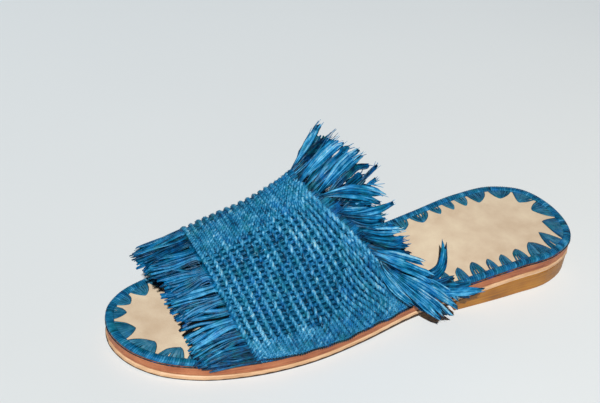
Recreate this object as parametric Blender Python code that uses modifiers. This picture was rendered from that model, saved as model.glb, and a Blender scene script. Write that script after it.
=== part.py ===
"""A left slip-on sandal of raffia and leather, standing empty on its sole.

Metres, +Z up, toe towards +Y, medial side (the big toe's) towards +X. The origin is on the
floor, at the middle of the heel's flat underside.
"""

import math

import bmesh
import bpy
import numpy as np

# ---- Driving dimensions -------------------------------------------------------------------

LENGTH = 0.255  # heel to toe tip, over the raffia binding
HEEL_BACK = -0.043  # where the heel's back lies, from the origin
GAP = 0.0003  # clearance between pieces that touch

# The rim of the footbed, over its raffia binding, from heel to toe.
# station: share of LENGTH from the heel; lateral, medial: half width on the outer and inner side
RIM = [
    # station, lateral, medial
    (0.030, 0.0225, 0.0261),
    (0.090, 0.0311, 0.0342),
    (0.180, 0.0334, 0.0342),
    (0.300, 0.0342, 0.0302),
    (0.420, 0.0339, 0.0285),
    (0.550, 0.0392, 0.0336),
    (0.680, 0.0432, 0.0392),
    (0.780, 0.0418, 0.0393),
    (0.880, 0.0350, 0.0343),
    (0.950, 0.0242, 0.0265),
    (0.985, 0.0128, 0.0172),
]
HEEL_TIP_SIDE = 0.0010  # the heel's and the toe's rearmost and foremost points, across
TOE_TIP_SIDE = 0.0015
RIM_POINTS = 44  # faces along each side of a sole layer

# Side view of the sole, as distances from the heel's back.
HEEL_LIFT = 0.0106  # the outsole's underside above the floor at the heel
HEEL_SEAT_END = 0.038  # the sole starts to slope down here
TREAD_START = 0.160  # and lies flat on the floor from here
TOE_SPRING_START = 0.220
TOE_SPRING = 0.0012
HEEL_LENGTH = 0.083  # back of the heel to its breast

OUTSOLE_THICK = 0.0025
MIDSOLE_THICK = 0.0048
FOOTBED_THICK = 0.0015
BINDING_TALL = 0.0022  # the raffia bead round the footbed, beside it on the midsole
BINDING_WIDE = 0.0034
HEEL_INSET = 0.0004  # each layer's edge, inwards from the rim
OUTSOLE_INSET = 0.0
MIDSOLE_INSET = 0.0002
EDGE_ROUND = 0.0004
HEEL_TAPER = 0.0005  # the heel draws in towards the floor

# The woven band: arches from sole edge to sole edge, front to back. Distances from the heel's
# back, heights from the floor. lean: how far the side wall leans in for each unit that it
# rises; rise: share of the height that it climbs before it turns over, on the outer side;
# crown: share of the half width that the top stays round for, on the outer side, and
# medial_crown on the inner; curve: how late the arch bows towards its crest, 1 for a straight
# slant.
BAND = [
    # lateral_foot, medial_foot, crest_at, crest_high, crest_side, lean, rise, crown,
    #     medial_crown, curve
    (0.1960, 0.1955, 0.2145, 0.0503, 0.0063, 0.25, 0.30, 0.40, 0.61, 0.94),
    (0.1745, 0.1745, 0.1992, 0.0556, 0.0062, 0.25, 0.34, 0.44, 0.64, 1.04),
    (0.1532, 0.1534, 0.1854, 0.0616, 0.0063, 0.26, 0.37, 0.48, 0.67, 1.14),
    (0.1318, 0.1324, 0.1730, 0.0683, 0.0069, 0.27, 0.40, 0.52, 0.69, 1.24),
    (0.1104, 0.1115, 0.1620, 0.0757, 0.0079, 0.28, 0.42, 0.55, 0.70, 1.34),
]
MEDIAL_RISE = 0.48  # the rise on the inner side, the same all along
BAND_THICK = 0.0018
BAND_OUT = 0.0010  # how far the band's outer face stands outside the rim
BAND_SECTIONS = 17
ARCH_POINTS = 15  # along each half of an arch
RISER = 0.0032  # upright stretch at the sole edge, beside the binding
BINDING_PINCH = 0.0014  # how far the binding is drawn in where the band passes over it
PINCH_FADE = 0.008

# The two fringes, from the lateral foot of the arch (across 0) to the medial foot (1). Each
# row gives the strands' tips, from the band's edge: side towards the medial side, ahead
# towards the toe, up.
FRONT_FRINGE = [
    # across, side, ahead, up
    (0.06, 0.0070, 0.0235, -0.0020),
    (0.14, 0.0085, 0.0215, -0.0110),
    (0.25, 0.0095, 0.0190, -0.0185),
    (0.38, 0.0090, 0.0170, -0.0220),
    (0.50, 0.0020, 0.0165, -0.0240),
    (0.62, -0.0060, 0.0170, -0.0220),
    (0.75, -0.0085, 0.0190, -0.0185),
    (0.86, -0.0080, 0.0215, -0.0110),
    (0.94, -0.0065, 0.0235, -0.0020),
]
BACK_FRINGE = [
    # across, side, ahead, up
    (0.08, -0.0130, -0.0280, -0.0060),
    (0.15, -0.0130, -0.0280, -0.0100),
    (0.24, -0.0120, -0.0280, -0.0060),
    (0.33, -0.0120, -0.0270, 0.0010),
    (0.43, -0.0060, -0.0250, 0.0140),
    (0.54, 0.0020, -0.0210, 0.0220),
    (0.65, 0.0080, -0.0250, 0.0150),
    (0.76, 0.0120, -0.0270, 0.0010),
    (0.85, 0.0120, -0.0280, -0.0060),
    (0.92, 0.0130, -0.0280, -0.0060),
]
FRINGE_THICK = 0.0016
FRINGE_GAP = 0.0006  # from the band's cut edge to the fringe
FRINGE_COLUMNS = 42
FRINGE_ROWS = 5
FRINGE_SNIP = 0.10  # every second column of strands is this much shorter
FRINGE_STRAIGHT = 0.45  # share of the length that the strands follow the band's slope

MIDSOLE_BASE = OUTSOLE_THICK + GAP
MIDSOLE_TOP = MIDSOLE_BASE + MIDSOLE_THICK
FOOTBED_BASE = MIDSOLE_TOP + GAP


# ---- Scene and materials ------------------------------------------------------------------


def clear_scene():
    for obj in list(bpy.data.objects):
        bpy.data.objects.remove(obj, do_unlink=True)


def material(name, colour, roughness):
    made = bpy.data.materials.new(name)
    made.use_nodes = True
    shader = made.node_tree.nodes["Principled BSDF"]
    shader.inputs["Base Color"].default_value = (*colour, 1.0)
    shader.inputs["Roughness"].default_value = roughness
    shader.inputs["Metallic"].default_value = 0.0
    return made


def add_object(name, bm, finish, smooth_below=math.radians(35)):
    """Puts the mesh in the sandal's collection, with round surfaces shaded smooth."""
    bmesh.ops.recalc_face_normals(bm, faces=bm.faces)
    mesh = bpy.data.meshes.new(name)
    bm.to_mesh(mesh)
    bm.free()
    mesh.shade_smooth()
    mesh.set_sharp_from_angle(angle=smooth_below)
    mesh.materials.append(finish)
    obj = bpy.data.objects.new(name, mesh)
    sandal.objects.link(obj)
    return obj


# ---- The rim and the side view, which every sole layer follows ----------------------------


def smooth_loop(corners, steps=14):
    """A closed curve through the corners, each slope taken from the chords beside it."""
    here = np.array(corners)
    chord = np.linalg.norm(np.roll(here, -1, 0) - here, axis=1)[:, None]
    before = np.roll(chord, 1, 0)
    ahead = (np.roll(here, -1, 0) - here) / chord
    slope = (ahead * before + np.roll(ahead, 1, 0) * chord) / (chord + before)
    curve = []
    for i in range(len(here)):
        j = (i + 1) % len(here)
        for t in np.arange(steps) / steps:
            along_start = chord[i] * slope[i] * (t**3 - 2 * t**2 + t)
            along_end = chord[i] * slope[j] * (t**3 - t**2)
            blend = 3 * t**2 - 2 * t**3
            curve.append(here[i] * (1 - blend) + here[j] * blend + along_start + along_end)
    return np.array(curve)


def rim_sides():
    """The rim's lateral and medial halves, each from heel to toe as points and inward normals."""
    lateral = [(-row[1], row[0] * LENGTH) for row in RIM]
    medial = [(row[2], row[0] * LENGTH) for row in RIM]
    heel = (HEEL_TIP_SIDE, 0.0)
    toe = (TOE_TIP_SIDE, LENGTH)
    loop = smooth_loop([heel, *lateral, toe, *reversed(medial)]) + (0.0, HEEL_BACK)
    tangent = np.roll(loop, -1, 0) - np.roll(loop, 1, 0)
    tangent /= np.linalg.norm(tangent, axis=1)[:, None]
    inward = np.column_stack([tangent[:, 1], -tangent[:, 0]])
    toe_index = len(loop) * (len(RIM) + 1) // (2 * len(RIM) + 2)
    order = np.arange(len(loop) + 1) % len(loop)
    halves = {}
    for side, run in (("lateral", order[: toe_index + 1]), ("medial", order[toe_index:][::-1])):
        halves[side] = (loop[run], inward[run])
    return halves


def rim_run(side, start, end, count):
    """count + 1 points of one side, evenly spaced between two distances from the heel's back."""
    points, inward = SIDES[side]
    travelled = np.insert(np.cumsum(np.linalg.norm(np.diff(points, axis=0), axis=1)), 0, 0)
    first, last = np.interp([start, end], points[:, 1] - HEEL_BACK, travelled)
    wanted = np.linspace(first, last, count + 1)
    sampled = [np.interp(wanted, travelled, column) for column in (*points.T, *inward.T)]
    return np.column_stack(sampled[:2]), np.column_stack(sampled[2:])


def rim_at(side, distance, out=0.0):
    """One point of the rim, moved outwards."""
    points, inward = rim_run(side, distance, distance, 1)
    return points[0] - inward[0] * out


def ease(start, end, value):
    t = min(max((value - start) / (end - start), 0.0), 1.0)
    return t * t * (3 - 2 * t)


def underside(y):
    """Height of the outsole's underside: raised on the heel, flat under the ball, sprung at the toe."""
    distance = y - HEEL_BACK
    lift = HEEL_LIFT * (1 - ease(HEEL_SEAT_END, TREAD_START, distance))
    past = max(0.0, distance - TOE_SPRING_START) / (LENGTH - TOE_SPRING_START)
    return lift + TOE_SPRING * past**2


# ---- Meshes -------------------------------------------------------------------------------


def bridge(bm, low, high):
    for i in range(len(low)):
        j = (i + 1) % len(low)
        bm.faces.new((low[i], low[j], high[j], high[i]))


def cap(bm, ring):
    """Closes a ring that starts at the heel's tip with rungs from its one side to its other."""
    count = len(ring)
    left, right = 1, count - 1
    bm.faces.new((ring[0], ring[left], ring[right]))
    while right - left > 1:
        corners = [ring[left], ring[left + 1], ring[right]]
        if right - left > 2:
            corners.insert(2, ring[right - 1])
        bm.faces.new(corners)
        left, right = left + 1, right - 1


def stacked(levels, end=LENGTH, count=RIM_POINTS):
    """A closed body from one contour for each level: (inset from the rim, height at y)."""
    bm = bmesh.new()
    rings = []
    for inset, height in levels:
        lateral, medial = (
            points + inward * inset
            for points, inward in (rim_run(side, 0.0, end, count) for side in ("lateral", "medial"))
        )
        # At the toe the two sides end in one point, and at a heel's breast in two.
        last = count if end == LENGTH else count + 1
        contour = [*lateral, *medial[1:last][::-1]]
        rings.append([bm.verts.new((x, y, height(y))) for x, y in contour])
    for low, high in zip(rings, rings[1:]):
        bridge(bm, low, high)
    cap(bm, rings[0])
    cap(bm, rings[-1])
    return bm


def sole_layer(name, inset, base, thick, finish):
    """A layer that follows the underside, base above it, with its edges rounded."""

    def raised(by):
        return lambda y: underside(y) + by

    levels = [
        (inset + EDGE_ROUND, raised(base)),
        (inset, raised(base + EDGE_ROUND)),
        (inset, raised(base + thick - EDGE_ROUND)),
        (inset + EDGE_ROUND, raised(base + thick)),
    ]
    return add_object(name, stacked(levels), finish)


def heel_block(finish):
    top_inset = HEEL_INSET + EDGE_ROUND
    foot_inset = HEEL_INSET + HEEL_TAPER
    levels = [
        (foot_inset + EDGE_ROUND, lambda y: 0.0),
        (foot_inset, lambda y: EDGE_ROUND),
        (HEEL_INSET, lambda y: underside(y) - GAP - EDGE_ROUND),
        (top_inset, lambda y: underside(y) - GAP),
    ]
    return add_object("heel", stacked(levels, HEEL_LENGTH, 20), finish)


def pinch(y):
    """How far the band draws the binding in at y: full under the band, fading out past it."""
    front, back = BAND[0][0], BAND[-1][0]
    distance = y - HEEL_BACK
    before = ease(back - PINCH_FADE, back, distance)
    after = ease(front, front + PINCH_FADE, distance)
    return BINDING_PINCH * (before - after)


def edge_binding(finish, around=12):
    """The raffia whipped round the footbed's edge: a soft oval bead swept along the rim."""
    runs = [rim_run(side, 0.0, LENGTH, RIM_POINTS) for side in ("lateral", "medial")]
    points = np.vstack([runs[0][0], runs[1][0][1:-1][::-1]])
    inward = np.vstack([runs[0][1], runs[1][1][1:-1][::-1]])
    bm = bmesh.new()
    beads = []
    for k in range(around):
        angle = 2 * math.pi * k / around
        cos, sin = math.cos(angle), math.sin(angle)
        # A squared oval: the root flattens its sides.
        share_in = 0.5 - 0.5 * math.copysign(abs(cos) ** 0.7, cos)
        share_up = 0.5 + 0.5 * math.copysign(abs(sin) ** 0.7, sin)
        bead = []
        for (x, y), (nx, ny) in zip(points, inward):
            drawn_in = pinch(y)
            inset = drawn_in + (BINDING_WIDE - drawn_in) * share_in
            height = underside(y) + FOOTBED_BASE + BINDING_TALL * share_up
            bead.append(bm.verts.new((x + nx * inset, y + ny * inset, height)))
        beads.append(bead)
    for bead, following in zip(beads, beads[1:] + beads[:1]):
        bridge(bm, bead, following)
    return add_object("edge_binding", bm, finish)


def bezier(p0, p1, p2, p3, t):
    s = 1 - t
    return p0 * s**3 + p1 * 3 * s**2 * t + p2 * 3 * s * t**2 + p3 * t**3


def arch_half(side, foot, crest_at, crest_high, crest_side, lean, rise, crown, curve):
    """Half an arch, from the sole edge to the crest."""
    x, y = rim_at(side, foot, BAND_OUT)
    inwards = 1.0 if side == "lateral" else -1.0
    foot_high = underside(y) + FOOTBED_BASE
    start = np.array([x, foot_high + RISER])
    top = np.array([crest_side, crest_high])
    climb = rise * (top[1] - start[1])
    handle = start + (inwards * lean * climb, climb)
    shoulder = top - (inwards * crown * abs(top[0] - x), 0.0)
    profile = [np.array([x, foot_high])]
    for t in np.linspace(0, 1, ARCH_POINTS):
        profile.append(bezier(start, handle, shoulder, top, t))
    lean_back = HEEL_BACK + crest_at - y
    arch = []
    for px, pz in profile:
        share = (pz - foot_high) / (crest_high - foot_high)
        arch.append((px, y + lean_back * share**curve, pz))
    return arch


def arch(place):
    """The band's outer face at place, from 0 at the toe side to 1 at the heel side."""
    columns = np.array(BAND).T
    rows = np.linspace(0, 1, len(BAND))
    shape = [np.interp(place, rows, column) for column in columns]
    lateral_foot, medial_foot, *crest, lean, rise, crown, medial_crown, curve = shape
    lateral = arch_half("lateral", lateral_foot, *crest, lean, rise, crown, curve)
    medial = arch_half("medial", medial_foot, *crest, lean, MEDIAL_RISE, medial_crown, curve)
    return np.array(lateral + medial[:-1][::-1])


def surface(lines):
    """An open sheet through lines of equally many points."""
    bm = bmesh.new()
    rows = [[bm.verts.new(point) for point in line] for line in lines]
    for row, following in zip(rows, rows[1:]):
        for i in range(len(row) - 1):
            bm.faces.new((row[i], row[i + 1], following[i + 1], following[i]))
    return bm


def thicken(obj, thick, even=True):
    """Gives a sheet its thickness, inwards from its outer face."""
    wall = obj.modifiers.new("wall", "SOLIDIFY")
    wall.thickness = thick
    wall.offset = -1.0
    wall.use_even_offset = even


def outward_up(obj):
    """Turns a sheet's faces so that its highest one looks up."""
    mesh = obj.data
    highest = max(mesh.polygons, key=lambda face: face.center.z)
    if highest.normal.z < 0:
        mesh.flip_normals()


def woven_band(finish):
    lines = [arch(place) for place in np.linspace(0, 1, BAND_SECTIONS)]
    band = add_object("upper", surface(lines), finish)
    outward_up(band)
    thicken(band, BAND_THICK)
    return band


def along_arch(line, across):
    """The point of an arch at a share of its length."""
    steps = np.linalg.norm(np.diff(line, axis=0), axis=1)
    travelled = np.insert(np.cumsum(steps), 0, 0) / steps.sum()
    return np.array([np.interp(across, travelled, column) for column in line.T])


def fringe(name, place, step, table, finish):
    """The strands left free past one edge of the band, as one thin sheet with a snipped edge."""
    edge, inside = arch(place), arch(place + step)
    columns = np.array(table).T
    lines = []
    for k, across in enumerate(np.linspace(table[0][0], table[-1][0], FRINGE_COLUMNS)):
        root = along_arch(edge, across)
        slope = root - along_arch(inside, across)
        slope /= np.linalg.norm(slope)
        reach = np.array([np.interp(across, columns[0], column) for column in columns[1:]])
        reach = reach * (1 - FRINGE_SNIP * (k % 2))
        start = root + slope * FRINGE_GAP
        bend = start + slope * FRINGE_STRAIGHT * np.linalg.norm(reach)
        tip = root + reach
        times = np.linspace(0, 1, FRINGE_ROWS)
        lines.append([start * (1 - t) ** 2 + bend * 2 * t * (1 - t) + tip * t**2 for t in times])
    sheet = add_object(name, surface(lines), finish)
    outward_up(sheet)
    thicken(sheet, FRINGE_THICK, even=False)
    return sheet


# ---- The sandal ---------------------------------------------------------------------------

clear_scene()
sandal = bpy.data.collections.new("straw_sandal")
bpy.context.scene.collection.children.link(sandal)
SIDES = rim_sides()

stacked_leather = material("stacked_leather", (0.45, 0.24, 0.06), 0.55)
pale_leather = material("pale_leather", (0.80, 0.56, 0.30), 0.55)
rust_leather = material("rust_leather", (0.52, 0.20, 0.09), 0.55)
natural_leather = material("natural_leather", (0.68, 0.50, 0.36), 0.60)
blue_raffia = material("blue_raffia", (0.02, 0.18, 0.38), 0.50)

heel_block(stacked_leather)
sole_layer("outsole", OUTSOLE_INSET, 0.0, OUTSOLE_THICK, pale_leather)
sole_layer("midsole", MIDSOLE_INSET, MIDSOLE_BASE, MIDSOLE_THICK, rust_leather)
sole_layer("footbed", BINDING_WIDE + GAP, FOOTBED_BASE, FOOTBED_THICK, natural_leather)
edge_binding(blue_raffia)
woven_band(blue_raffia)
fringe("front_fringe", 0.0, 0.06, FRONT_FRINGE, blue_raffia)
fringe("back_fringe", 1.0, -0.06, BACK_FRINGE, blue_raffia)
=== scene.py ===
import math

import bpy
import numpy as np
from mathutils import Matrix, Vector


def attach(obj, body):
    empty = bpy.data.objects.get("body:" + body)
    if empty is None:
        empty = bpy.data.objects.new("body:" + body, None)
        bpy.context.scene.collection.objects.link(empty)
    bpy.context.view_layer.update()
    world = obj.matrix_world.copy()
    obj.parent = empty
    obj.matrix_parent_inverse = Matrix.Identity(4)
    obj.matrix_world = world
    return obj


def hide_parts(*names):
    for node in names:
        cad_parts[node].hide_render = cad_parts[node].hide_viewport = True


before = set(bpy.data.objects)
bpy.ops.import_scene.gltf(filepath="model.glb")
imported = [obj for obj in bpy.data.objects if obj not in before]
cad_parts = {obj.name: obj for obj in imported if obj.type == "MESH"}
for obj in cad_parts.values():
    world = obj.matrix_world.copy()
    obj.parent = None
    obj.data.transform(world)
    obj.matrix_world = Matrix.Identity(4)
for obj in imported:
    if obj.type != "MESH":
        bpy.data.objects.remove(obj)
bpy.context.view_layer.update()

MM = 0.001


# ---- Heel block ------------------------------------------------------------------------------
# The heel is a low block of stacked leather lifts, glued and nailed under the outsole. Its side
# is sanded flush, dyed ochre and burnished, so the lifts show as fine level lines.


def paint(red, green, blue):
    """A colour given in 0-255 steps, as the linear value that a shader takes."""
    linear = []
    for step in (red, green, blue):
        share = step / 255
        linear.append(share / 12.92 if share <= 0.04045 else ((share + 0.055) / 1.055) ** 2.4)
    return (*linear, 1.0)


class Finish:
    """A material being put together: each call adds a shader node and wires its inputs."""

    def __init__(self, name):
        self.made = bpy.data.materials.new(name)
        self.made.use_nodes = True
        self.tree = self.made.node_tree
        self.shader = self.tree.nodes["Principled BSDF"]

    def wire(self, node, inputs):
        for key, value in inputs.items():
            if isinstance(value, bpy.types.NodeSocket):
                self.tree.links.new(value, node.inputs[key])
            else:
                node.inputs[key].default_value = value

    def node(self, kind, inputs=None, **settings):
        node = self.tree.nodes.new("ShaderNode" + kind)
        for key, value in settings.items():
            setattr(node, key, value)
        self.wire(node, inputs or {})
        return node

    def where(self):
        """The place on the sandal, in metres."""
        return self.node("TexCoord").outputs["Object"]

    def noise(self, vector, scale, detail=3.0, roughness=0.55, stretch=None):
        if stretch is not None:
            vector = self.node("Mapping", {"Vector": vector, "Scale": stretch}).outputs["Vector"]
        inputs = {"Vector": vector, "Scale": scale, "Detail": detail, "Roughness": roughness}
        return self.node("TexNoise", inputs).outputs["Fac"]

    def maths(self, operation, first, second, clamp=False):
        node = self.node("Math", {0: first, 1: second}, operation=operation, use_clamp=clamp)
        return node.outputs["Value"]

    def plus(self, first, second, share):
        """The first value with a share of the second added."""
        return self.maths("ADD", first, self.maths("MULTIPLY", second, share))

    def spread(self, value, low, high, to_low=0.0, to_high=1.0):
        inputs = {
            "Value": value, "From Min": low, "From Max": high, "To Min": to_low, "To Max": to_high,
        }
        return self.node("MapRange", inputs).outputs["Result"]

    def ramp(self, value, stops):
        node = self.node("ValToRGB", {"Fac": value})
        band = node.color_ramp
        while len(band.elements) < len(stops):
            band.elements.new(0.5)
        for element, (place, colour) in zip(band.elements, stops):
            element.position = place
            element.color = colour
        return node.outputs["Color"]

    def mix(self, share, first, second):
        node = self.node("Mix", data_type="RGBA")
        self.wire(node, {0: share, 6: first, 7: second})
        return node.outputs[2]

    def bump(self, height, distance, strength):
        inputs = {"Height": height, "Distance": distance, "Strength": strength}
        return self.node("Bump", inputs).outputs["Normal"]

    def done(self, colour, roughness, normal=None, **fixed):
        self.wire(self.shader, {"Base Color": colour, "Roughness": roughness})
        if normal is not None:
            self.wire(self.shader, {"Normal": normal})
        for key, value in fixed.items():
            self.shader.inputs[key.replace("_", " ")].default_value = value
        return self.made


def cut_leather(name, stops, lines, blotch, gloss):
    """Leather seen on its cut edge: level streaks over slow blotches, sanded and waxed."""
    finish = Finish(name)
    where = finish.where()
    streak = finish.noise(where, 1.0, detail=4.0, stretch=lines)
    patch = finish.noise(where, blotch, detail=2.0)
    fibre = finish.noise(where, 900.0, detail=2.0)
    tone = finish.plus(finish.maths("MULTIPLY", streak, 0.62), patch, 0.38)
    colour = finish.ramp(tone, stops)
    speck = finish.spread(fibre, 0.60, 0.74, 0.0, 0.30)
    colour = finish.mix(speck, colour, stops[0][1])
    rough = finish.spread(streak, 0.3, 0.7, gloss - 0.07, gloss + 0.10)
    height = finish.plus(streak, fibre, 0.35)
    return finish.done(colour, rough, finish.bump(height, 0.00018, 0.55))


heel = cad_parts["heel"]
heel.material_slots[0].material = cut_leather(
    "heel lifts",
    [(0.36, paint(124, 76, 6)), (0.50, paint(154, 98, 20)), (0.64, paint(172, 118, 35))],
    lines=(45.0, 45.0, 1500.0), blotch=70.0, gloss=0.46,
)


# ---- Outsole ---------------------------------------------------------------------------------
# One thin sheet of pale vegetable-tanned leather under the whole foot. Only its sanded edge
# shows, a cream line with a little fibre standing in it.

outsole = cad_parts["outsole"]
outsole.material_slots[0].material = cut_leather(
    "pale outsole",
    [(0.34, paint(180, 134, 92)), (0.50, paint(205, 165, 126)), (0.66, paint(219, 184, 148))],
    lines=(60.0, 60.0, 1300.0), blotch=90.0, gloss=0.50,
)


# ---- Midsole ---------------------------------------------------------------------------------
# The layer that the band's ends are lasted under: rust-dyed leather board, its edge trimmed with
# one pass of the knife, which leaves faint drag lines along it.

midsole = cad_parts["midsole"]
midsole.material_slots[0].material = cut_leather(
    "rust midsole",
    [(0.34, paint(131, 67, 38)), (0.50, paint(163, 96, 60)), (0.66, paint(181, 115, 76))],
    lines=(70.0, 70.0, 1100.0), blotch=110.0, gloss=0.52,
)


# ---- Footbed ---------------------------------------------------------------------------------
# A beige lining leather glued flat over the midsole, smooth and matt, with a fine grain, small
# pores and slow warm blotches. It is left unstamped.


def footbed_leather():
    finish = Finish("footbed leather")
    where = finish.where()
    patch = finish.noise(where, 38.0, detail=3.0)
    cloud = finish.noise(where, 130.0, detail=4.0)
    grain = finish.noise(where, 2300.0, detail=2.0)
    pores = finish.node("TexVoronoi", {"Vector": where, "Scale": 1500.0}).outputs["Distance"]
    tone = finish.plus(finish.maths("MULTIPLY", patch, 0.6), cloud, 0.4)
    colour = finish.ramp(tone, [
        (0.34, paint(206, 182, 154)), (0.50, paint(218, 197, 170)), (0.66, paint(228, 210, 182)),
    ])
    speck = finish.spread(grain, 0.58, 0.72, 0.0, 0.20)
    colour = finish.mix(speck, colour, paint(176, 148, 118))
    rough = finish.spread(cloud, 0.3, 0.7, 0.55, 0.70)
    height = finish.maths("ADD", finish.maths("MULTIPLY", pores, 0.5), grain)
    return finish.done(colour, rough, finish.bump(height, 0.00007, 0.6))


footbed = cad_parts["footbed"]
footbed.material_slots[0].material = footbed_leather()


# ---- Raffia leaves on the footbed ------------------------------------------------------------
# Round the footbed runs a border of leaves. Each is a fan of flat dyed raffia strands that come
# from under the edge binding and all go down through one hole, the leaf's point.

LENGTH = 0.255
HEEL_BACK = -0.043
FOOTBED_TOP = 9.4 * MM  # above the outsole's underside
HEEL_HIGH = 0.0106
DROP_FROM, DROP_TO = 0.038, 0.160  # where the sole comes down from the heel, from the heel's back
SPRING_FROM, TOE_SPRING = 0.220, 0.0012  # where the toe starts to lift, and by how much
RIM = [  # share of the length from the heel, lateral and medial half width
    (0.030, 0.0225, 0.0261), (0.090, 0.0311, 0.0342), (0.180, 0.0334, 0.0342),
    (0.300, 0.0342, 0.0302), (0.420, 0.0339, 0.0285), (0.550, 0.0392, 0.0336),
    (0.680, 0.0432, 0.0392), (0.780, 0.0418, 0.0393), (0.880, 0.0350, 0.0343),
    (0.950, 0.0242, 0.0265), (0.985, 0.0128, 0.0172),
]


def ease(start, end, value):
    t = np.clip((np.asarray(value, float) - start) / (end - start), 0.0, 1.0)
    return t * t * (3 - 2 * t)


def underside(y):
    """Height of the outsole's underside: up on the heel, flat under the ball, sprung at the toe."""
    distance = np.asarray(y, float) - HEEL_BACK
    past = np.clip(distance - SPRING_FROM, 0.0, None) / (LENGTH - SPRING_FROM)
    return HEEL_HIGH * (1 - ease(DROP_FROM, DROP_TO, distance)) + TOE_SPRING * past**2


RIM_STEPS = 14  # points of the curve between two rows of RIM


def rim_loop():
    """The rim from the heel up the lateral side to the toe and back down the medial side."""
    lateral = [(-row[1], row[0] * LENGTH) for row in RIM]
    medial = [(row[2], row[0] * LENGTH) for row in RIM]
    here = np.array([(0.0010, 0.0), *lateral, (0.0015, LENGTH), *reversed(medial)])
    chord = np.linalg.norm(np.roll(here, -1, 0) - here, axis=1)[:, None]
    before = np.roll(chord, 1, 0)
    ahead = (np.roll(here, -1, 0) - here) / chord
    slope = (ahead * before + np.roll(ahead, 1, 0) * chord) / (chord + before)
    t = (np.arange(RIM_STEPS) / RIM_STEPS)[None, :, None]
    ends, slopes = np.roll(here, -1, 0)[:, None], np.roll(slope, -1, 0)[:, None]
    blend = 3 * t**2 - 2 * t**3
    curve = here[:, None] * (1 - blend) + ends * blend
    turn = slope[:, None] * (t**3 - 2 * t**2 + t) + slopes * (t**3 - t**2)
    curve = curve + chord[:, None] * turn
    return curve.reshape(-1, 2) + (0.0, HEEL_BACK)


def run_along(line):
    """The distance from a line's start to each of its points."""
    return np.insert(np.cumsum(np.linalg.norm(np.diff(line, axis=0), axis=1)), 0, 0)


rim = rim_loop()
rim_tangent = np.roll(rim, -1, 0) - np.roll(rim, 1, 0)
rim_tangent /= np.linalg.norm(rim_tangent, axis=1)[:, None]
rim_inward = np.column_stack([rim_tangent[:, 1], -rim_tangent[:, 0]])
rim_run = run_along(np.vstack([rim, rim[:1]]))
ROUND = rim_run[-1]


def on_rim(run, inset):
    """Points in plan at a distance round the rim from the heel, drawn in from it."""
    run = np.mod(run, ROUND)
    closed = [np.append(column, column[0]) for column in (*rim.T, *rim_inward.T)]
    x, y, nx, ny = (np.interp(run, rim_run, column) for column in closed)
    return np.stack([x + nx * inset, y + ny * inset], -1)


def unit(vectors):
    return vectors / np.linalg.norm(vectors, axis=-1, keepdims=True)


def flat_strands(
    lines, up, half_width, shades, twist=0.0, *, thick, fold=0.0, crease=0.0, salt
):
    """A batch of closed flat strands. lines is strand, step, xyz; the other sizes match its first
    two. Each is folded lengthwise by fold, or by crease, a share of its half width."""
    along = unit(np.gradient(lines, axis=1))
    up = np.broadcast_to(up, lines.shape)
    up = unit(up - (up * along).sum(-1, keepdims=True) * along)
    side = np.cross(up, along)
    twist = np.broadcast_to(twist, lines.shape[:2])[..., None]
    cos, sin = np.cos(twist), np.sin(twist)
    up, side = up * cos + side * sin, side * cos - up * sin
    across = np.array([1.0, 0.38, -0.38, -1.0, -0.38, 0.38])
    top = np.array([0.0, 0.5, 0.5, 0.0, -0.5, -0.5])
    wide = half_width[..., None] * across
    high = thick * top + (fold + half_width * crease)[..., None] * (1 - np.abs(across))
    rings = lines[:, :, None] + side[:, :, None] * wide[..., None]
    rings = rings + up[:, :, None] * high[..., None]
    return rings, strand_lay(rings, wide, salt), shades.reshape(len(shades), -1, 1)


def strand_lay(rings, across, salt):
    """For each ring point: mm along its strand, mm across it, and which strand it is."""
    middle = rings.mean(2)
    steps = np.linalg.norm(np.diff(middle, axis=1), axis=-1)
    run = np.concatenate([np.zeros((len(steps), 1)), np.cumsum(steps, 1)], 1) / MM
    run = np.broadcast_to(run[..., None], rings.shape[:3])
    which = np.arange(len(rings))[:, None, None] * 7.31 + salt
    return np.stack([run, across / MM, np.broadcast_to(which, run.shape)], -1)


def strand_piece(name, batches, finish, closed_loop=False):
    """Joins batches of closed tubes into one mesh. A batch is rings, and a lay and a shade for
    each of their points."""
    points, corners, sizes, lays, shades, count = [], [], [], [], [], 0
    for rings, lay, shade in batches:
        tubes, steps, sides, _ = rings.shape
        index = count + np.arange(tubes * steps * sides).reshape(tubes, steps, sides)
        beside = np.roll(index, -1, 2)
        (first, last), (beside_first, beside_last) = (
            (part, np.roll(part, -1, 1)) if closed_loop else (part[:, :-1], part[:, 1:])
            for part in (index, beside))
        quads = np.stack([first, beside_first, beside_last, last], -1).reshape(-1, 4)
        corners.append(quads.ravel())
        sizes.append(np.full(len(quads), 4))
        if not closed_loop:
            caps = np.concatenate([index[:, 0, ::-1], index[:, -1]])
            corners.append(caps.ravel())
            sizes.append(np.full(len(caps), sides))
        points.append(rings.reshape(-1, 3))
        lays.append(lay.reshape(-1, 3))
        shades.append(np.broadcast_to(shade, rings.shape[:3]).ravel())
        count += tubes * steps * sides
    corners, sizes = np.concatenate(corners), np.concatenate(sizes)
    mesh = bpy.data.meshes.new(name)
    mesh.vertices.add(count)
    mesh.vertices.foreach_set("co", np.concatenate(points).astype(np.float32).ravel())
    mesh.loops.add(len(corners))
    mesh.loops.foreach_set("vertex_index", corners.astype(np.int32))
    mesh.polygons.add(len(sizes))
    starts = np.insert(np.cumsum(sizes), 0, 0)[:-1]
    mesh.polygons.foreach_set("loop_start", starts.astype(np.int32))
    mesh.update(calc_edges=True)
    mesh.attributes.new("lay", "FLOAT_VECTOR", "POINT").data.foreach_set(
        "vector", np.concatenate(lays).astype(np.float32).ravel())
    mesh.attributes.new("shade", "FLOAT", "POINT").data.foreach_set(
        "value", np.concatenate(shades).astype(np.float32))
    mesh.shade_smooth()
    return hang(name, mesh, finish)


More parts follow.
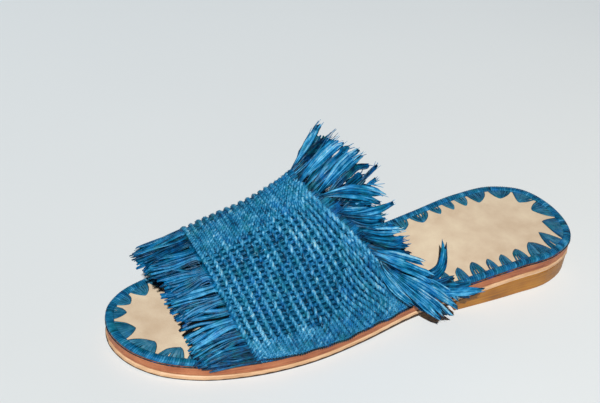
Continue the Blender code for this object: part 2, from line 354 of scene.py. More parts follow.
def put(name, data):
    made = bpy.data.objects.new(name, data)
    bpy.context.scene.collection.objects.link(made)
    return made


def hang(name, mesh, finish):
    """Puts a mesh in the scene as a piece of the sandal."""
    mesh.materials.append(finish)
    piece = put(name, mesh)
    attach(piece, "root")
    return piece


def dyed_raffia(name, stops, streak=0.5, gloss=0.42, bump=0.00010, grit=0.0, crease_shade=0.0):
    """Dyed raffia: lengthwise fibre lines, each strand its own tone, satin where it lies flat."""
    finish = Finish(name)
    lay = finish.node("Attribute", attribute_name="lay").outputs["Vector"]
    shade = finish.node("Attribute", attribute_name="shade").outputs["Fac"]
    where = finish.where()
    fibre = finish.noise(lay, 1.0, detail=4.0, roughness=0.70, stretch=(0.16, 2.6, 1.0))
    fine = finish.noise(lay, 1.0, detail=2.0, stretch=(0.5, 9.0, 1.0))
    patch = finish.noise(where, 260.0, detail=3.0)
    lines = finish.maths("MULTIPLY", finish.maths("SUBTRACT", fibre, 0.5), streak)
    drift = finish.maths("MULTIPLY", finish.maths("SUBTRACT", patch, 0.5), 0.80)
    tone = finish.maths("ADD", finish.maths("ADD", shade, lines), drift)
    specks = finish.maths("SUBTRACT", finish.noise(where, 1250.0, detail=2.0, roughness=0.7), 0.5)
    tone = finish.plus(tone, specks, grit)
    # Painted shade: thin dark lengthwise lines, for the shade in the raffia's creases.
    split = finish.noise(lay, 1.0, detail=2.0, stretch=(0.07, 2.1, 1.0))
    crease_shade_mask = finish.spread(split, 0.56, 0.66, 0.0, crease_shade)
    tone = finish.maths("SUBTRACT", tone, crease_shade_mask, clamp=True)
    colour = finish.ramp(tone, stops)
    warm = finish.noise(where, 150.0, detail=3.0, roughness=0.7)
    colour = finish.mix(finish.spread(warm, 0.52, 0.70, 0.0, 0.50), colour, paint(14, 108, 118))
    colour = finish.mix(finish.spread(warm, 0.46, 0.30, 0.0, 0.45), colour, paint(0, 94, 170))
    rough = finish.spread(fibre, 0.35, 0.65, gloss - 0.06, gloss + 0.16)
    height = finish.plus(fibre, fine, 0.5)
    return finish.done(
        colour, rough, finish.bump(height, bump, 0.8),
        Specular_IOR_Level=0.38, Specular_Tint=(0.45, 0.78, 1.0, 1.0))


RAFFIA_STOPS = [
    (0.00, paint(0, 28, 50)), (0.25, paint(0, 71, 109)), (0.50, paint(24, 112, 156)),
    (0.75, paint(86, 159, 196)), (1.00, paint(170, 208, 216)),
]
LEAF_STOPS = [
    (0.00, paint(2, 48, 76)), (0.25, paint(16, 84, 118)), (0.50, paint(48, 116, 148)),
    (0.75, paint(96, 148, 174)), (1.00, paint(168, 202, 214)),
]
LEAVES = [  # distances round the rim from the heel in mm: start, end, point; how far in that is
    (5.3, 28.8, 7.1, 12.9), (28.8, 41.7, 30.1, 16.7), (41.7, 57.7, 49.4, 15.0),
    (57.7, 68.3, 61.1, 12.9), (68.3, 77.0, 70.4, 12.2), (77.0, 84.5, 79.2, 12.3),
    (84.5, 94.5, 87.9, 13.6), (94.5, 103.2, 96.7, 13.2), (103.2, 111.5, 105.4, 13.6),
    (252.3, 267.3, 255.4, 11.9), (267.3, 286.1, 272.5, 11.8), (286.1, 303.8, 292.6, 12.5),
    (303.8, 316.8, 312.0, 10.1), (316.8, 330.2, 322.4, 9.1), (330.2, 342.9, 335.8, 10.6),
    (342.9, 355.4, 345.7, 9.6), (504.1, 512.8, 508.4, 10.2), (512.8, 521.6, 517.2, 11.1),
    (521.6, 531.0, 526.0, 11.5), (531.0, 544.3, 534.3, 12.0), (545.9, 561.8, 552.8, 11.3),
    (561.8, 579.8, 572.0, 12.4), (579.8, 598.7, 585.8, 12.3),
]
UNDER_BAND = 12  # leaves on each side that the band covers
for first, last, deep in ((111.5, 252.3, 12.2), (355.4, 504.1, 11.0)):
    step = (last - first) / UNDER_BAND
    LEAVES += [
        (first + k * step, first + (k + 1) * step, first + (k + 0.4) * step, deep)
        for k in range(UNDER_BAND)]
LEAF_STRAND = 2.3  # mm of rim to each strand of a leaf
PALE_FROM, PALE_TO, PALE_BY = 240, 285, 0.18  # leaves at the toe, on the lateral side, are paler


def curve_through(root, bend, tip, t):
    return root * (1 - t) ** 2 + bend * 2 * t * (1 - t) + tip * t**2


def leaf_strands(rng):
    lines, widths, shades = [], [], []
    t = np.linspace(0, 1, 10)
    for left, right, tip, inset in LEAVES:
        count = max(4, round((right - left) / LEAF_STRAND))
        tone = rng.uniform(0.32, 0.42) + (PALE_BY if PALE_FROM < left < PALE_TO else 0.0)
        base_width = (right - left) * (0.80 if right - left < 12 else 0.96)
        middle = (left + right) / 2
        for k in range(count):
            share = (k + 0.5) / count
            base = middle + base_width * (share - 0.5)
            toward = tip + (base - tip) * 0.02
            bend = base + 0.10 * (tip - base)
            run = curve_through(base, bend, toward, t)
            drawn = curve_through(2.0, 0.74 * inset, inset, t)
            plan = on_rim(run * MM, drawn * MM)
            lift = 0.16 + 0.20 * np.sin(np.pi * np.clip(t * 1.05, 0, 1)) - 0.34 * t**6
            lift = lift + 0.14 * (1 - abs(2 * share - 1)) + rng.uniform(0, 0.06)
            lines.append(np.column_stack([plan, underside(plan[:, 1]) + FOOTBED_TOP + lift * MM]))
            gap = base_width / count
            closer = (1 - t) ** 2 + 1.8 * t * (1 - t) + 0.02 * t**2 + 0.16 * t
            parted = 1 - 0.45 * (rng.random() < 0.45) * ease(0.54, 0.36, t) * (share > 0.45)
            widths.append(0.5 * gap * rng.uniform(1.02, 1.16) * closer * parted * MM)
            shades.append(tone + rng.normal(0, 0.10))
    return np.array(lines), (0.0, 0.0, 1.0), np.array(widths), np.array(shades)


strand_piece(
    "footbed_leaves",
    [flat_strands(
        *leaf_strands(np.random.default_rng(3)), thick=0.14 * MM, crease=0.07, salt=1.0)],
    dyed_raffia("leaf raffia", LEAF_STOPS, streak=0.55, gloss=0.38),
)


# ---- Edge binding ----------------------------------------------------------------------------
# Raffia whipped over a cord right round the footbed's edge, each turn pulled down beside the
# last at a slant, so that the bead is ribbed. The band's ends pass over it and draw it in.

BEAD_WIDE, BEAD_TALL = 4.1 * MM, 2.6 * MM
BEAD_BASE = 7.9 * MM
WHIP_PITCH = 1.15 * MM
BAND_BACK, BAND_FRONT = 0.1104, 0.1960  # distances of the band's outer feet from the heel's back


def round_of(count, whole=2 * np.pi):
    """Evenly spaced places round a closed loop."""
    return np.arange(count) / count * whole


def tube_lay(run, beside, which, shape):
    """The lay of a tube's ring points: along it, round it, and which strand it is."""
    return np.stack([np.broadcast_to(part, shape) for part in (run, beside, which)], -1)


def whipped_bead(rng):
    run, angle = round_of(2100, ROUND), round_of(16)
    turns = int(round(ROUND / WHIP_PITCH))
    widths = rng.uniform(0.75, 1.25, turns)
    marks = np.insert(np.cumsum(widths), 0, 0) / widths.sum() * ROUND
    cos, sin = np.cos(angle), np.sin(angle)
    share_in = 0.5 - 0.5 * np.copysign(np.abs(cos) ** 0.75, cos)
    share_up = 0.5 + 0.5 * np.copysign(np.abs(sin) ** 0.75, sin)
    slant = 0.9 * WHIP_PITCH * np.sin(angle / 2 + 0.4)
    phase = np.interp(np.mod(run[:, None] + slant, ROUND), marks, np.arange(turns + 1))
    ridge = np.sqrt(np.abs(np.sin(np.pi * phase)))
    swell = (ridge - 0.78) * 0.34 * MM
    y = on_rim(run, 0.0)[:, 1] - HEEL_BACK
    drawn = 1.4 * MM * (
        ease(BAND_BACK - 0.008, BAND_BACK, y) - ease(BAND_FRONT, BAND_FRONT + 0.008, y))
    inset = drawn[:, None] + (BEAD_WIDE - drawn[:, None]) * share_in - cos * swell
    plan = on_rim(np.broadcast_to(run[:, None], inset.shape), inset)
    high = underside(plan[..., 1]) + BEAD_BASE + BEAD_TALL * share_up + sin * swell
    high = np.maximum(high, underside(plan[..., 1]) + BEAD_BASE - 0.1 * MM)
    rings = np.concatenate([plan, high[..., None]], -1)[None]
    tone = rng.normal(0.31, 0.10, turns + 1)[np.floor(phase).astype(int) % turns]
    # Painted shade and highlight: each turn is painted darker in the grooves between turns and
    # paler on its ridge.
    tone = tone + 0.35 * (ridge - 0.6)
    lay = tube_lay(angle * 1.4, phase * 1.7, np.floor(phase) * 3.7, phase.shape)
    return rings[:, :, ::-1], lay[None, :, ::-1], tone[None, :, ::-1]


binding = strand_piece(
    "edge_whipping", [whipped_bead(np.random.default_rng(5))],
    dyed_raffia("whipping raffia", RAFFIA_STOPS, streak=0.5, gloss=0.42), closed_loop=True,
)
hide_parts("edge_binding")


def bead_shadow_thread():
    """A dark thread that closes the joint between the bead and the midsole: painted shadow under
    the bead.
    """
    run, angle = round_of(800, ROUND), round_of(6)
    radius = 0.29 * MM * (1 + 0.12 * np.sin(run * 2300) + 0.10 * np.sin(run * 611))[:, None]
    inset = 0.06 * MM - radius * np.cos(angle)
    plan = on_rim(np.broadcast_to(run[:, None], inset.shape), inset)
    high = underside(plan[..., 1]) + BEAD_BASE - 0.12 * MM + radius * np.sin(angle)
    rings = np.concatenate([plan, high[..., None]], -1)[None]
    lay = tube_lay(run[:, None] / MM, angle, 0.0, high.shape)
    return rings[:, :, ::-1], lay[None, :, ::-1], 0.3


# Dark thread colours: painted shadow, for the line under the bead and under the band's lower edge.
SHADOW_THREAD_STOPS = [(0.00, paint(4, 10, 16)), (0.50, paint(22, 32, 40)), (1.00, paint(52, 68, 80))]
shadow_thread_finish = dyed_raffia("painted shadow thread", SHADOW_THREAD_STOPS, streak=0.5, gloss=0.55)
strand_piece("binding_shadow_thread", [bead_shadow_thread()], shadow_thread_finish, closed_loop=True)


# ---- Outsole's dark lower corner -------------------------------------------------------------
# A dark strip runs along the outsole's lower corner from the heel's front on one side, round
# the toe, to the heel's front on the other.

DARK_EDGE_TALL, DARK_EDGE_PROUD, DARK_EDGE_DEEP = 0.85 * MM, 0.09 * MM, 0.3 * MM
DARK_EDGE_THINNER = 0.55  # under the toes
HEEL_FRONT = 0.0835  # from the heel's back


def dark_edge_line():
    steps = 700
    before_heel, lateral = rim[:, 1] - HEEL_BACK > HEEL_FRONT, rim[:, 0] < 0
    lateral_end = rim_run[:-1][before_heel & lateral].min()
    medial_end = rim_run[:-1][before_heel & ~lateral].max()
    run = np.linspace(lateral_end, medial_end, steps)[:, None]
    out = np.array([-DARK_EDGE_PROUD, -DARK_EDGE_PROUD, DARK_EDGE_DEEP, DARK_EDGE_DEEP])[None]
    up = np.array([0.02 * MM, DARK_EDGE_TALL, DARK_EDGE_TALL, 0.02 * MM])[None]
    plan = on_rim(np.broadcast_to(run, (steps, 4)), out)
    distance = plan[..., 1] - HEEL_BACK
    heavy = 1 - DARK_EDGE_THINNER * ease(0.190, 0.225, distance)
    high = underside(plan[..., 1]) + up * heavy * (1 + 0.12 * np.sin(run * 900))
    return np.concatenate([plan, high[..., None]], -1)[None]


def dark_edge_finish():
    finish = Finish("dark lower edge")
    where = finish.where()
    wear = finish.noise(where, 700.0, detail=3.0)
    colour = finish.ramp(wear, [(0.40, paint(44, 28, 18)), (0.62, paint(74, 48, 30))])
    rough = finish.spread(wear, 0.3, 0.7, 0.42, 0.62)
    return finish.done(colour, rough, finish.bump(wear, 0.00004, 0.6), Specular_IOR_Level=0.3)


dark_edge_rings = dark_edge_line()
dark_edge = strand_piece("outsole_dark_edge", [(dark_edge_rings, np.zeros(dark_edge_rings.shape), 0.0)], dark_edge_finish())


# ---- Woven band: its shape -------------------------------------------------------------------
# The band is one piece of raffia cloth, twined flat and then pulled over the last in an arch
# from sole edge to sole edge. The layers below lie on this shape: across runs from the lateral
# foot (0) over the crest to the medial foot (1), place from the toe side (0) to the heel side (1).

BAND = [  # lateral and medial foot, crest: at, high, side; lean, rise, crown, medial crown, curve
    (0.1960, 0.1955, 0.2145, 0.0503, 0.0063, 0.25, 0.30, 0.40, 0.61, 0.94),
    (0.1745, 0.1745, 0.1992, 0.0556, 0.0062, 0.25, 0.34, 0.44, 0.64, 1.04),
    (0.1532, 0.1534, 0.1854, 0.0616, 0.0063, 0.26, 0.37, 0.48, 0.67, 1.14),
    (0.1318, 0.1324, 0.1730, 0.0683, 0.0069, 0.27, 0.40, 0.52, 0.69, 1.24),
    (0.1104, 0.1115, 0.1620, 0.0757, 0.0079, 0.28, 0.42, 0.55, 0.70, 1.34),
]
MEDIAL_RISE = 0.48
BAND_OUT = 1.0 * MM
RISER = 3.2 * MM
BAND_FOOT = 7.9 * MM  # above the outsole's underside
BAND_ROUND, BAND_LONG = 159, 74  # mm over it from sole to sole, and from edge to edge
ALONG_BAND, ACROSS_BAND = 73, 421  # points of the shape's net
EDGE_ROWS, FOOT_ROWS = 8, 5  # rows by which the net runs on past its edges


def rim_beside(lateral, distance):
    """The rim's point on one side at a distance from the heel's back, moved out to the band."""
    half = len(rim) // 2
    side = slice(0, half + 1) if lateral else slice(half, None)
    points, inward = rim[side], rim_inward[side]
    order = np.argsort(points[:, 1])
    y = distance + HEEL_BACK
    x, nx, ny = (
        np.interp(y, points[order, 1], column[order])
        for column in (points[:, 0], inward[:, 0], inward[:, 1])
    )
    return x - nx * BAND_OUT, y - ny * BAND_OUT


def arch_half(lateral, foot, crest_at, crest_high, crest_side, lean, rise, crown, curve):
    x, y = rim_beside(lateral, foot)
    inwards = 1.0 if lateral else -1.0
    foot_high = underside(y) + BAND_FOOT
    start = np.array([x, foot_high + RISER])
    top = np.array([crest_side, crest_high])
    climb = rise * (top[1] - start[1])
    handle = start + (inwards * lean * climb, climb)
    shoulder = top - (inwards * crown * abs(top[0] - x), 0.0)
    t = np.linspace(0, 1, 60)[:, None]
    s = 1 - t
    profile = start * s**3 + handle * 3 * s**2 * t + shoulder * 3 * s * t**2 + top * t**3
    profile = np.vstack([[x, foot_high], profile])
    share = (profile[:, 1] - foot_high) / (crest_high - foot_high)
    back = y + (HEEL_BACK + crest_at - y) * share**curve
    return np.column_stack([profile[:, 0], back, profile[:, 1]])


def band_net():
    """Points and outward directions of the band's outer face, evenly spaced across."""
    fits = [np.polyfit(np.linspace(0, 1, len(BAND)), column, 2) for column in np.array(BAND).T]
    rows = []
    for place in np.linspace(0, 1, ALONG_BAND):
        lateral, medial, *crest, lean, rise, crown, medial_crown, curve = (
            np.polyval(fit, place) for fit in fits)
        outer = arch_half(True, lateral, *crest, lean, rise, crown, curve)
        inner = arch_half(False, medial, *crest, lean, MEDIAL_RISE, medial_crown, curve)
        line = np.vstack([outer, inner[:-1][::-1]])
        run = run_along(line)
        even = np.linspace(0, run[-1], ACROSS_BAND)
        rows.append(np.column_stack([np.interp(even, run, column) for column in line.T]))
    net = np.array(rows)
    net = extend(extend(net, EDGE_ROWS).swapaxes(0, 1), FOOT_ROWS).swapaxes(0, 1)
    outward = unit(np.cross(np.gradient(net, axis=0), np.gradient(net, axis=1)))
    return net, outward


def extend(net, count):
    """Runs the net straight on past its first and last rows."""
    out = np.arange(count, 0, -1)[:, None, None]
    before = net[0] + (net[0] - net[1]) * out
    after = net[-1] + (net[-1] - net[-2]) * out[::-1]
    return np.concatenate([before, net, after])


band_points, band_outward = band_net()


def on_band(across, place, lift=0.0):
    """Points of the band at shares across and along it, lifted out, and the outward directions."""
    across, place, lift = np.broadcast_arrays(across, place, lift)
    i = np.clip(place * (ALONG_BAND - 1) + EDGE_ROWS, 0, len(band_points) - 1.001)
    j = np.clip(across * (ACROSS_BAND - 1) + FOOT_ROWS, 0, band_points.shape[1] - 1.001)
    i0, j0 = np.floor(i).astype(int), np.floor(j).astype(int)
    fi, fj = (i - i0)[..., None], (j - j0)[..., None]
    found = []
    for net in (band_points, band_outward):
        low = net[i0, j0] * (1 - fj) + net[i0, j0 + 1] * fj
        high = net[i0 + 1, j0] * (1 - fj) + net[i0 + 1, j0 + 1] * fj
        found.append(low * (1 - fi) + high * fi)
    outward = unit(found[1])
    return found[0] + outward * lift[..., None], outward


def sway(across, place):
    """The cloth's slow rise and fall over the last."""
    wave = np.sin(11 * across + 5 * place) + 0.7 * np.sin(23 * across - 9 * place + 1.3)
    return 0.16 * MM * wave * np.sin(np.pi * np.clip(across, 0, 1)) ** 0.5


# The rows are not quite level: each drifts from its share of the band as it goes up the side.
# DRIFT has a row for each share across, a column for each share along.
RIBS = np.array([*np.linspace(0.020, 0.878, 17), 0.930, 0.980])
DRIFT_ACROSS = [0.0, 0.035, 0.14, 0.276, 0.41, 0.50]
DRIFT_PLACE = [0.0, 0.10, 0.30, 0.50, 0.65, 0.75, 0.85, 0.93, 1.0]
DRIFT = np.array([
    (0.000, -0.020, -0.035, -0.045, -0.010, 0.040, 0.055, 0.040, 0.010),
    (0.000, -0.020, -0.035, -0.050, -0.030, 0.015, 0.040, 0.035, 0.010),
    (-0.008, -0.018, -0.030, -0.045, -0.055, -0.060, -0.035, 0.000, 0.000),
    (0.000, 0.000, 0.000, 0.000, 0.000, 0.000, 0.000, 0.000, 0.000),
    (0.008, 0.020, 0.038, 0.060, 0.070, 0.072, 0.045, 0.022, 0.005),
    (0.010, 0.022, 0.042, 0.066, 0.078, 0.080, 0.050, 0.024, 0.006),
])


def rib_place(share, across):
    """Where along the band a row that starts at share lies, at each point across it."""
    half = np.minimum(across, 1 - across)
    at_share = [np.interp(share, DRIFT_PLACE, row) for row in DRIFT]
    fine = np.linspace(-0.05, 0.5, 111)
    padded = np.pad(np.interp(fine, DRIFT_ACROSS, at_share), 9, mode="edge")
    drift = np.convolve(padded, np.ones(19) / 19, "valid")
    return share + np.interp(half, fine, drift)


# Strands that run along the foot stand close together at the sole edge and on the crest, and
# are drawn into pairs between, which opens the holes.
CLOSE, CREST, OPEN = 1.45, 1.65, 2.75  # mm from pair to pair
SPACING_ACROSS = [0.0, 0.060, 0.115, 0.42, 0.46, 0.54, 0.58, 0.885, 0.94, 1.0]
SPACING = [CLOSE, CLOSE, OPEN, OPEN, CREST, CREST, OPEN, OPEN, CLOSE, CLOSE]


def warp_places():
    across, found = 0.004, []
    while across < 0.997:
        found.append(across)
        across += float(np.interp(across, SPACING_ACROSS, SPACING)) / BAND_ROUND
    return np.array(found)


WARPS = warp_places()


def openness(across):
    """1 where the weave is open, 0 where its strands stand close."""
    return (np.interp(across, SPACING_ACROSS, SPACING) - CLOSE) / (OPEN - CLOSE)


# ---- Woven band: lining ----------------------------------------------------------------------
# A thin dark cotton lining is stuck behind the raffia; its dark colour is painted shade, which
# is why the holes read dark. It covers the whole inside of the band and stops just short of the
# cut edges.

LINING_DEPTH = 1.95 * MM


def band_lining():
    across, place = np.meshgrid(np.linspace(0.004, 0.996, 161), np.linspace(0.004, 0.996, 49))
    points, _ = on_band(across, place, sway(across, place) - LINING_DEPTH)
    rows, columns = across.shape
    index = np.arange(rows * columns).reshape(rows, columns)
    faces = np.stack([index[:-1, :-1], index[1:, :-1], index[1:, 1:], index[:-1, 1:]], -1)
    mesh = bpy.data.meshes.new("band_lining")
    mesh.from_pydata(points.reshape(-1, 3).tolist(), [], faces.reshape(-1, 4).tolist())
    mesh.shade_smooth()
    return mesh


def lining_cotton():
    finish = Finish("lining cotton")
    where = finish.where()
    threads = {"Vector": where, "Scale": 520.0, "Distortion": 1.5}
    warp = finish.node("TexWave", threads, bands_direction="X")
    weft = finish.node("TexWave", threads, bands_direction="Y")
    cloth = finish.maths("MULTIPLY", warp.outputs["Fac"], weft.outputs["Fac"])
    patch = finish.noise(where, 90.0)
    tone = finish.plus(finish.maths("MULTIPLY", cloth, 0.5), patch, 0.5)
    # Painted shade: the lining's dark navy stands for the shade seen through the holes.
    colour = finish.ramp(tone, [(0.2, paint(0, 40, 66)), (0.8, paint(0, 70, 110))])
    rough = finish.spread(cloth, 0.0, 1.0, 0.92, 0.78)
    return finish.done(
        colour, rough, finish.bump(cloth, 0.00012, 0.7),
        Specular_IOR_Level=0.15, Specular_Tint=(0.1, 0.5, 1.0, 1.0))


lining = hang("band_lining", band_lining(), lining_cotton())
lining_wall = lining.modifiers.new("wall", "SOLIDIFY")
lining_wall.thickness = 0.3 * MM
lining_wall.offset = -1.0


# ---- Woven band: long strands ----------------------------------------------------------------
# The warp: flat raffia strands, two by two, that run the length of the band inside the twined
# rows. Between the rows they show as short dull rungs that sag a little, with a hole each side.
# They are painted darker than the rows: painted shade, for lying deeper.


def warp_strands(rng):
    per_gap = 5
    strands = []
    for middle in WARPS:
        wide = 0.36 + 0.14 * openness(middle)
        at_ribs = [rib_place(share, np.array(middle)) for share in RIBS]
        knots = np.array([-0.012, *at_ribs, 1.012])
        for pair in (-1, 1):
            gap = np.arange((len(knots) - 1) * per_gap + 1) / per_gap
            place = np.interp(gap, np.arange(len(knots)), knots)
            between = np.sin(np.pi * (gap - np.floor(gap)))
            spread = 0.32 + openness(middle) * (0.22 - 0.28 * between)
            aside = pair * spread * rng.uniform(0.9, 1.1)
            aside = aside + 0.10 * np.interp(gap, np.arange(0, 22, 1.5), rng.normal(0, 1, 15))
            across = middle + aside / BAND_ROUND
            lift = (-0.95 - 0.35 * between * openness(middle) + 0.05 * pair) * MM
            lift = lift + sway(across, place)
            points, outward = on_band(across, place, lift)
            # Painted shade: a darker tone than the rows', for lying deeper under them.
            tone = rng.normal(0.30, 0.06) + 0.09 * rng.normal(0, 1, len(gap))
            strands.append((points, outward, wide * MM * (1 + 0.12 * between), tone))
    return [np.array(values) for values in zip(*strands)]


warps = strand_piece(
    "band_long_strands",
    [flat_strands(
        *warp_strands(np.random.default_rng(7)), thick=0.34 * MM, fold=0.05 * MM, salt=2.0)],
    dyed_raffia("long strand raffia", RAFFIA_STOPS, streak=0.5, gloss=0.52, grit=0.5),
)
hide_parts("upper")


# ---- Woven band: twined rows -----------------------------------------------------------------
# The weft: nineteen rows, each of two raffia strands twisted half a turn about every pair of
# long strands, like a fine slanting rope. Short rows fill in at the soles and over the crest.

TWINE_OUT, TWINE_SIDE = 0.38 * MM, 0.37 * MM  # how far each of the two strands stands off
PLY_OUT, PLY_SIDE = 0.54 * MM, 0.90 * MM  # half its thickness and half its width
ROW_DEPTH = 0.72 * MM
RIDGE_HIGHLIGHT_AND_WEAR = 0.27  # how much paler a stitch is where it stands proudest and on its lamp side: wear and painted highlight
PALE_PATCHES = [  # across, place, reach across, reach along, how much paler
    (0.155, 0.105, 0.045, 0.035, 0.18), (0.317, 0.735, 0.012, 0.025, 0.25),
    (0.345, 0.600, 0.040, 0.030, 0.10), (0.404, 0.085, 0.010, 0.030, 0.20),
    (0.468, 0.400, 0.010, 0.022, 0.20), (0.275, 0.845, 0.035, 0.020, 0.15),
    (0.240, 0.420, 0.030, 0.020, 0.11), (0.130, 0.880, 0.030, 0.030, 0.15),
    (0.620, 0.300, 0.030, 0.030, 0.19), (0.760, 0.640, 0.030, 0.030, 0.19),
    (0.860, 0.200, 0.030, 0.030, 0.15),
]


def paler(across, place):
    extra = np.zeros(np.broadcast(across, place).shape)
    for at, along, wide, long, much in PALE_PATCHES:
        off = ((across - at) / wide) ** 2
        extra = extra + much * np.exp(-off - ((place - along) / long) ** 2)
    return extra


EDGE_UP, TOE_EDGE_UP = 0.0075, 0.0160


def edge_wave(place):
    """Where the cloth's lower edge lies: it waves a little, and is drawn up at the toe side."""
    wave = 0.0028 * np.sin(19 * place + 0.8) + 0.0022 * np.sin(43 * place)
    return EDGE_UP + wave + TOE_EDGE_UP * ease(0.45, 0.0, place)


def selvedge(rng, lateral, depth, radius, twist, lay_across, tone):
    """A two-strand cord sewn along one lower edge, over the ends of the rows."""
    place = np.linspace(-0.004, 1.004, 420)
    across = edge_wave(place) + lay_across
    across = across if lateral else 1 - across
    middle, outward = on_band(across, place, -depth)
    along = unit(np.gradient(middle, axis=0))
    side = np.cross(along, outward)
    run = run_along(middle)
    turn = 2 * np.pi * run / twist + 0.8 * np.sin(run * 160)
    around = round_of(6)
    batches = []
    for ply in (0, np.pi):
        reach = 0.62 * radius
        cos, sin = np.cos(turn + ply)[:, None], np.sin(turn + ply)[:, None]
        line = middle + (outward * cos + side * sin) * reach
        cos, sin = np.cos(around)[:, None], np.sin(around)[:, None]
        ring = line[:, None] + (outward[:, None] * cos + side[:, None] * sin) * radius
        lay = tube_lay(run[:, None] / MM, around, 50 + ply, ring.shape[:2])
        shade = tone + 0.08 * rng.normal(0, 1, len(place)).repeat(6).reshape(-1, 6)
        batches.append((ring[None], lay[None], shade[None]))
    return batches


ROW_WANDER = 0.0022
CREST_SUNK = 0.25 * MM  # how much lower the rows lie over the crest
FOOT_TUCK = 0.25 * MM
ROW_TONE, PALEST = 0.385, 0.78


def uneven(rng, across, count, size):
    """A slow change across the band, between count random values."""
    return np.interp(across, np.linspace(-0.02, 1.02, count), rng.normal(0, size, count))


def twined_row(rng, share, start, end, steps, size):
    """The two strands of one row, between two shares across the band."""
    across = np.linspace(start, end, steps)
    knots = np.arange(len(WARPS))
    place = rib_place(share, across)
    place = place + ROW_WANDER * uneven(rng, across, 26, 1)
    tight = 1 - openness(across)
    over_crest = np.exp(-(((across - 0.50) / 0.13) ** 2))
    lift = sway(across, place) - ROW_DEPTH - CREST_SUNK * over_crest
    middle, outward = on_band(across, place, lift)
    tuck = ease(0.012, 0.002, np.minimum(across, 1 - across))[:, None]
    middle = middle - outward * tuck * FOOT_TUCK
    along = unit(np.gradient(middle, axis=0))
    side = np.cross(along, outward)
    turn = np.pi * np.interp(across, WARPS, knots) + rng.uniform(0, 0.4)
    around = round_of(6)
    strands = []
    thick = size * (1 + 0.05 * uneven(rng, across, 40, 1))
    for ply in (0, 1):
        angle = turn + np.pi * ply
        spread_out = (thick * TWINE_OUT * (1 - 0.40 * tight) * np.cos(angle))[:, None]
        spread_side = (thick * TWINE_SIDE * (1 + 0.35 * tight) * np.sin(angle))[:, None]
        line = middle + outward * spread_out + side * spread_side
        ply_out = (thick * PLY_OUT * (1 - 0.25 * tight))[:, None, None] * np.cos(around)[:, None]
        ply_side = (thick * PLY_SIDE * (1 + 0.30 * tight))[:, None, None] * np.sin(around)[:, None]
        ring = line[:, None] + outward[:, None] * ply_out + side[:, None] * ply_side
        run = run_along(line)[:, None] / MM
        lay = tube_lay(run, np.abs(np.pi - around) * 0.5, rng.uniform(0, 300), ring.shape[:2])
        stitch = np.floor((turn / np.pi + ply) / 2).astype(int)
        speckle = rng.normal(0, 0.10, len(WARPS) + 8)[stitch % len(WARPS)] * (1 - 0.45 * tight)
        slow_tone = uneven(rng, across, 12, 0.06)
        tone = ROW_TONE + rng.normal(0, 0.04) + speckle + slow_tone + paler(across, place)
        # Painted highlight and wear: each strand is painted paler on the stitch that lies on top
        # and along its side towards the lamp, and darker on its far side.
        ridge_and_lamp_side = 0.28 * np.cos(angle)[:, None] + 1.05 * np.cos(around - 1.0) - 0.20
        highlight_and_wear = RIDGE_HIGHLIGHT_AND_WEAR * np.clip(ridge_and_lamp_side, -0.8, 1.1) * (1 - 0.4 * tight[:, None])
        strands.append((ring, lay, np.minimum(tone[:, None] + highlight_and_wear, PALEST)))
    return [np.array(values) for values in zip(*strands)]


def twined_rows(rng, shares):
    steps = 500
    rows = []
    for share in shares:
        size = 1.0 + 0.04 * rng.normal()
        size *= 1.22 if share > 0.9 or share < 0.03 else 1.0
        low = edge_wave(share)
        rows.append(twined_row(rng, share, low, 1 - low, steps, size))
        if share > 0.97:
            continue
        following = RIBS[np.searchsorted(RIBS, share + 1e-6)]
        half = (share + following) / 2
        low, high = edge_wave(half), rng.uniform(0.080, 0.115)
        outer_high = high + 0.20 * float(ease(0.60, 0.92, half))
        for foot_start, foot_end in ((low, outer_high), (1 - high, 1 - low)):
            steps_here = int(850 * (foot_end - foot_start))
            rows.append(twined_row(rng, half, foot_start, foot_end, steps_here, 0.82))
        crest_low, crest_high = rng.uniform(0.425, 0.455), rng.uniform(0.545, 0.575)
        rows.append(twined_row(rng, half, crest_low, crest_high, 84, 0.56))
    return rows


rows_raffia = dyed_raffia("twined raffia", RAFFIA_STOPS, streak=0.55, gloss=0.42, grit=0.80)
for name, shares, seed in (
    ("band_rows_toe_side", RIBS[:10], 11),
    ("band_rows_heel_side", RIBS[10:], 12),
):
    strand_piece(name, twined_rows(np.random.default_rng(seed), shares), rows_raffia)

edge_cords, shadow_cords = [], []
for lateral in (True, False):
    edge_rng = np.random.default_rng(13)
    edge_cords += selvedge(edge_rng, lateral, 0.45 * MM, 0.42 * MM, 3.1 * MM, 0.0015, 0.42)
    # The second cord, lower down and in dark thread, is painted shadow under the band's lower edge.
    shadow_cords += selvedge(edge_rng, lateral, 0.55 * MM, 0.50 * MM, 2.4 * MM, -0.0070, 0.30)
strand_piece("band_edge_cords", edge_cords, rows_raffia)
strand_piece("band_shadow_cords", shadow_cords, shadow_thread_finish)


# ---- Woven band: loose fibres ----------------------------------------------------------------
# Split ends of raffia stand off the twined rows all over, thin as hairs and paler than the rest,
# where the strand was joined or has frayed.


FIBRES = 1250


